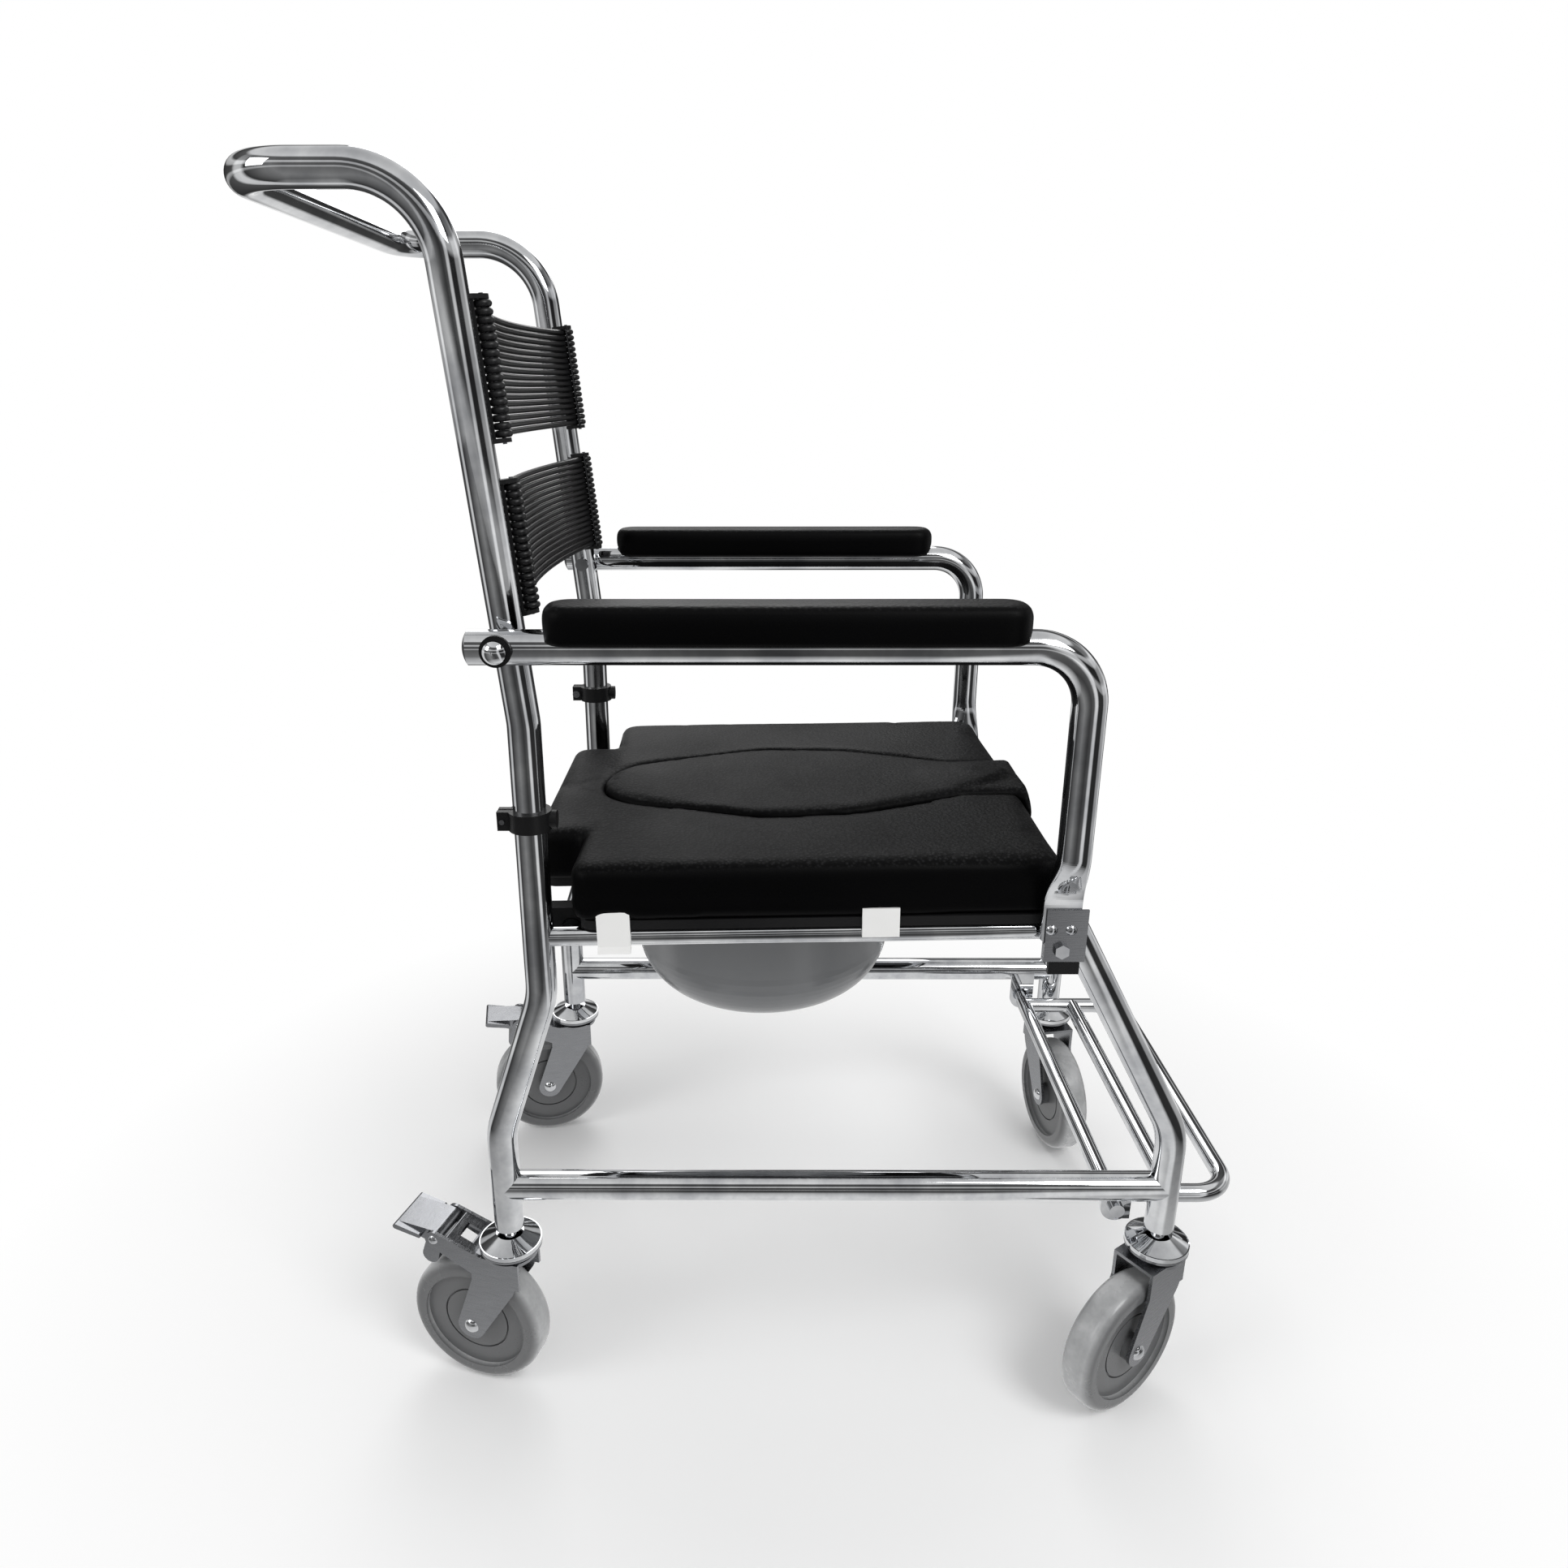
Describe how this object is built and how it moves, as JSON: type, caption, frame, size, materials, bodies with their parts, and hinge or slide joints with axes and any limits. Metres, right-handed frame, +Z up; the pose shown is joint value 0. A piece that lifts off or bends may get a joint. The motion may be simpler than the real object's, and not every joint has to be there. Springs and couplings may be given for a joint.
{
  "type": "commode chair",
  "caption": "Mobile commode chair: bent chrome tube frame on swivel casters, cord back, swing-up armrests, padded seat with lid, sliding bucket and folding footrest.",
  "frame": {"origin": "on the floor under the centre of the chair's plan", "axes": "+Z up, the sitter faces -Y, +X to the sitter's left"},
  "size_m": [0.5078, 0.7844, 0.9987],
  "materials": {
    "chrome": "mirror polished",
    "zinc": "bright zinc plated",
    "pu": "moulded foam with a fine grained skin",
    "cord": "soft satin cord",
    "black_plastic": "moulded, satin",
    "white_plastic": "moulded, satin",
    "grey_plastic": "glossy moulded",
    "hub_plastic": "satin moulded",
    "tyre_rubber": "smooth grey rubber",
    "board": "black laminated board"
  },
  "bodies": {
    "frame": {"rear_leg_left": "chrome", "rear_leg_right": "chrome", "front_leg_left": "chrome", "front_leg_right": "chrome", "lower_rail_left": "chrome", "lower_rail_right": "chrome", "seat_rail_left": "chrome", "seat_rail_right": "chrome", "seat_cross_tubes": "chrome", "bucket_runners": "zinc", "back_tube": "chrome", "upper_strips": "black_plastic", "lower_strips": "black_plastic", "back_rods": "zinc", "upper_cords": "cord", "lower_cords": "cord", "bumper_clamps": "black_plastic", "clamp_screws": "zinc", "catch_pins": "zinc", "pivot_bolts": "zinc", "pivot_washers": "black_plastic", "footrest_brackets": "chrome", "footrest_bolts": "zinc", "caster_mounts": "zinc"},
    "seat": {"seat_board": "board", "seat_clips": "white_plastic", "seat_cushion": "pu"},
    "lid": {"lid": "pu"},
    "bucket": {"bucket": "grey_plastic"},
    "armrest_left": {"armrest_tube_left": "chrome", "armrest_pad_left": "pu", "armrest_cap_left": "chrome", "latch_case_left": "zinc", "latch_rivets_left": "zinc"},
    "release_left": {"release_left": "black_plastic"},
    "armrest_right": {"armrest_tube_right": "chrome", "armrest_pad_right": "pu", "armrest_cap_right": "chrome", "latch_case_right": "zinc", "latch_rivets_right": "zinc"},
    "release_right": {"release_right": "black_plastic"},
    "footrest": {"footrest": "chrome"},
    "caster_rear_left": {"fork_rear_left": "zinc", "axle_rear_left": "zinc"},
    "wheel_rear_left": {"hub_rear_left": "hub_plastic", "tyre_rear_left": "tyre_rubber"},
    "pedal_rear_left": {"pedal_rear_left": "zinc"},
    "caster_rear_right": {"fork_rear_right": "zinc", "axle_rear_right": "zinc"},
    "wheel_rear_right": {"hub_rear_right": "hub_plastic", "tyre_rear_right": "tyre_rubber"},
    "pedal_rear_right": {"pedal_rear_right": "zinc"},
    "caster_front_left": {"fork_front_left": "zinc", "axle_front_left": "zinc"},
    "wheel_front_left": {"hub_front_left": "hub_plastic", "tyre_front_left": "tyre_rubber"},
    "caster_front_right": {"fork_front_right": "zinc", "axle_front_right": "zinc"},
    "wheel_front_right": {"hub_front_right": "hub_plastic", "tyre_front_right": "tyre_rubber"}
  },
  "joints": [
    {"name": "seat_lift", "type": "slide", "parent": "frame", "child": "seat", "axis": [0, 0.0175, 0.9998], "range_m": [0, 0.1]},
    {"name": "lid_lift", "type": "slide", "parent": "seat", "child": "lid", "axis": [0, 0.0175, 0.9998], "range_m": [0, 0.06]},
    {"name": "bucket_slide", "type": "slide", "parent": "frame", "child": "bucket", "axis": [0, 0.9998, -0.0175], "range_m": [0, 0.3]},
    {"name": "armrest_left_hinge", "type": "hinge", "parent": "frame", "child": "armrest_left", "pos_m": [0.2255, 0.21834, 0.6845], "axis": [-1, 0, 0], "range_deg": [0, 100]},
    {"name": "release_left_slide", "type": "slide", "parent": "armrest_left", "child": "release_left", "axis": [0, 1, 0], "range_m": [0, 0.007], "stiffness_N_per_m": 120},
    {"name": "armrest_right_hinge", "type": "hinge", "parent": "frame", "child": "armrest_right", "pos_m": [-0.2255, 0.21834, 0.6845], "axis": [-1, 0, 0], "range_deg": [0, 100]},
    {"name": "release_right_slide", "type": "slide", "parent": "armrest_right", "child": "release_right", "axis": [0, 1, 0], "range_m": [0, 0.007], "stiffness_N_per_m": 120},
    {"name": "footrest_hinge", "type": "hinge", "parent": "frame", "child": "footrest", "pos_m": [0, -0.2745, 0.178], "axis": [-1, 0, 0], "range_deg": [0, 100]},
    {"name": "swivel_rear_left", "type": "hinge", "parent": "frame", "child": "caster_rear_left", "pos_m": [0.193, 0.254, 0.15], "axis": [0, 0, 1], "continuous": true},
    {"name": "spin_rear_left", "type": "hinge", "parent": "caster_rear_left", "child": "wheel_rear_left", "pos_m": [0.18631, 0.28876, 0.0635], "axis": [0.982, 0.1891, 0], "continuous": true},
    {"name": "brake_rear_left", "type": "hinge", "parent": "caster_rear_left", "child": "pedal_rear_left", "pos_m": [0.18052, 0.31881, 0.15], "axis": [-0.982, -0.1891, 0], "range_deg": [0, 20]},
    {"name": "swivel_rear_right", "type": "hinge", "parent": "frame", "child": "caster_rear_right", "pos_m": [-0.193, 0.254, 0.15], "axis": [0, 0, 1], "continuous": true},
    {"name": "spin_rear_right", "type": "hinge", "parent": "caster_rear_right", "child": "wheel_rear_right", "pos_m": [-0.18235, 0.28776, 0.0635], "axis": [0.9537, -0.3007, 0], "continuous": true},
    {"name": "brake_rear_right", "type": "hinge", "parent": "caster_rear_right", "child": "pedal_rear_right", "pos_m": [-0.17315, 0.31694, 0.15], "axis": [-0.9537, 0.3007, 0], "range_deg": [0, 20]},
    {"name": "swivel_front_left", "type": "hinge", "parent": "frame", "child": "caster_front_left", "pos_m": [0.193, -0.31, 0.15], "axis": [0, 0, 1], "continuous": true},
    {"name": "spin_front_left", "type": "hinge", "parent": "caster_front_left", "child": "wheel_front_left", "pos_m": [0.15816, -0.31627, 0.0635], "axis": [-0.1771, 0.9842, 0], "continuous": true},
    {"name": "swivel_front_right", "type": "hinge", "parent": "frame", "child": "caster_front_right", "pos_m": [-0.193, -0.31, 0.15], "axis": [0, 0, 1], "continuous": true},
    {"name": "spin_front_right", "type": "hinge", "parent": "caster_front_right", "child": "wheel_front_right", "pos_m": [-0.2133, -0.281, 0.0635], "axis": [0.8192, 0.5736, 0], "continuous": true}
  ]
}
